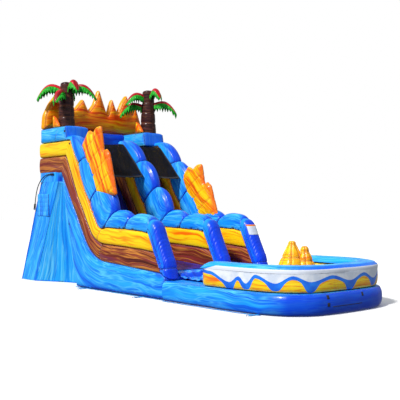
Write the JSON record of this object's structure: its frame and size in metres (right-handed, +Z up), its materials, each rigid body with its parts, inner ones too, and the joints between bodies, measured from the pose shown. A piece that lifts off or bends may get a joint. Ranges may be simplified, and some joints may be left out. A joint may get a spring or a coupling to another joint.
{
  "type": "inflatable water slide",
  "caption": "Two-lane inflatable water slide: wide slide lane, narrow climbing lane, netted platform, palms, rock crags and a round-fronted splash pool with a rock.",
  "frame": {"origin": "Middle of the box round the slide, on the ground.", "axes": "+X runs down the slide to the pool, +Y from the slide lane to the climbing lane, +Z up."},
  "size_m": [10.74, 3.8262, 5.4003],
  "materials": {
    "blue_vinyl": "gloss",
    "azure_vinyl": "gloss",
    "royal_blue_vinyl": "gloss",
    "brown_vinyl": "gloss",
    "yellow_vinyl": "gloss",
    "orange_vinyl": "gloss",
    "drip_vinyl": "gloss",
    "bark_vinyl": "satin",
    "leaf_vinyl": "satin",
    "black_net": "matte",
    "bed_liner": "gloss",
    "black_rubber": "satin",
    "steel": "satin"
  },
  "bodies": {
    "slide": {"canopy_left": "black_net", "canopy_right": "black_net", "canopy_roof": "black_net", "cap_left": "azure_vinyl", "cap_right": "azure_vinyl", "climb_bed": "bed_liner", "crag_left": "yellow_vinyl", "crag_right": "yellow_vinyl", "flame_wall": "orange_vinyl", "front_post_left": "royal_blue_vinyl", "front_post_middle": "royal_blue_vinyl", "front_post_right": "royal_blue_vinyl", "hose_sleeve": "black_rubber", "hose_valve": "black_rubber", "inflation_sleeve": "blue_vinyl", "landing_flap": "bed_liner", "palm_frond_left_1": "leaf_vinyl", "palm_frond_left_2": "leaf_vinyl", "palm_frond_left_3": "leaf_vinyl", "palm_frond_left_4": "leaf_vinyl", "palm_frond_left_5": "leaf_vinyl", "palm_frond_right_1": "leaf_vinyl", "palm_frond_right_2": "leaf_vinyl", "palm_frond_right_3": "leaf_vinyl", "palm_frond_right_4": "leaf_vinyl", "palm_frond_right_5": "leaf_vinyl", "palm_rock_left": "yellow_vinyl", "palm_rock_right": "yellow_vinyl", "palm_trunk_left": "bark_vinyl", "palm_trunk_right": "bark_vinyl", "platform_floor": "blue_vinyl", "pool_base": "blue_vinyl", "pool_liner": "royal_blue_vinyl", "pool_rim": "azure_vinyl", "pool_rock": "yellow_vinyl", "pool_wall": "drip_vinyl", "rear_guard_wall": "royal_blue_vinyl", "rear_wall": "blue_vinyl", "side_curtain_left": "blue_vinyl", "side_curtain_right": "blue_vinyl", "slide_bed": "bed_liner", "slide_body": "blue_vinyl", "top_tube_left": "blue_vinyl", "top_tube_middle": "blue_vinyl", "top_tube_right": "blue_vinyl", "wall_left_brown": "brown_vinyl", "wall_left_yellow": "yellow_vinyl", "wall_middle_brown": "brown_vinyl", "wall_middle_yellow": "yellow_vinyl", "wall_right_brown": "brown_vinyl", "wall_right_yellow": "yellow_vinyl", "water_hose": "black_rubber"},
    "anchor_ring_1": {"anchor_ring_1": "steel"},
    "anchor_ring_2": {"anchor_ring_2": "steel"},
    "anchor_ring_3": {"anchor_ring_3": "steel"},
    "anchor_ring_4": {"anchor_ring_4": "steel"},
    "anchor_ring_5": {"anchor_ring_5": "steel"},
    "anchor_ring_6": {"anchor_ring_6": "steel"},
    "deflation_flap": {"deflation_flap": "blue_vinyl"},
    "hose_collar": {"hose_collar": "steel"}
  },
  "joints": [
    {"name": "anchor_ring_1_swing", "type": "hinge", "parent": "slide", "child": "anchor_ring_1", "pos_m": [-1.52, -1.81, 0.012], "axis": [-1, 0, 0], "range_deg": [0, 85]},
    {"name": "anchor_ring_2_swing", "type": "hinge", "parent": "slide", "child": "anchor_ring_2", "pos_m": [0.78, -1.81, 0.012], "axis": [-1, 0, 0], "range_deg": [0, 85]},
    {"name": "anchor_ring_3_swing", "type": "hinge", "parent": "slide", "child": "anchor_ring_3", "pos_m": [4.38, -1.83132, 0.012], "axis": [-1, 0, 0], "range_deg": [0, 85]},
    {"name": "anchor_ring_4_swing", "type": "hinge", "parent": "slide", "child": "anchor_ring_4", "pos_m": [-1.52, 1.81, 0.012], "axis": [1, 0, 0], "range_deg": [0, 85]},
    {"name": "anchor_ring_5_swing", "type": "hinge", "parent": "slide", "child": "anchor_ring_5", "pos_m": [0.78, 1.81, 0.012], "axis": [1, 0, 0], "range_deg": [0, 85]},
    {"name": "anchor_ring_6_swing", "type": "hinge", "parent": "slide", "child": "anchor_ring_6", "pos_m": [4.38, 1.83132, 0.012], "axis": [1, 0, 0], "range_deg": [0, 85]},
    {"name": "deflation_flap_swing", "type": "hinge", "parent": "slide", "child": "deflation_flap", "pos_m": [-3.66, -1.6553, 2.38], "axis": [-1, 0, 0], "range_deg": [0, 110]},
    {"name": "hose_collar_turn", "type": "hinge", "parent": "slide", "child": "hose_collar", "pos_m": [-4.09408, -1.6784, 1.97563], "axis": [-0.2169, 0.0108, -0.9761], "continuous": true}
  ]
}
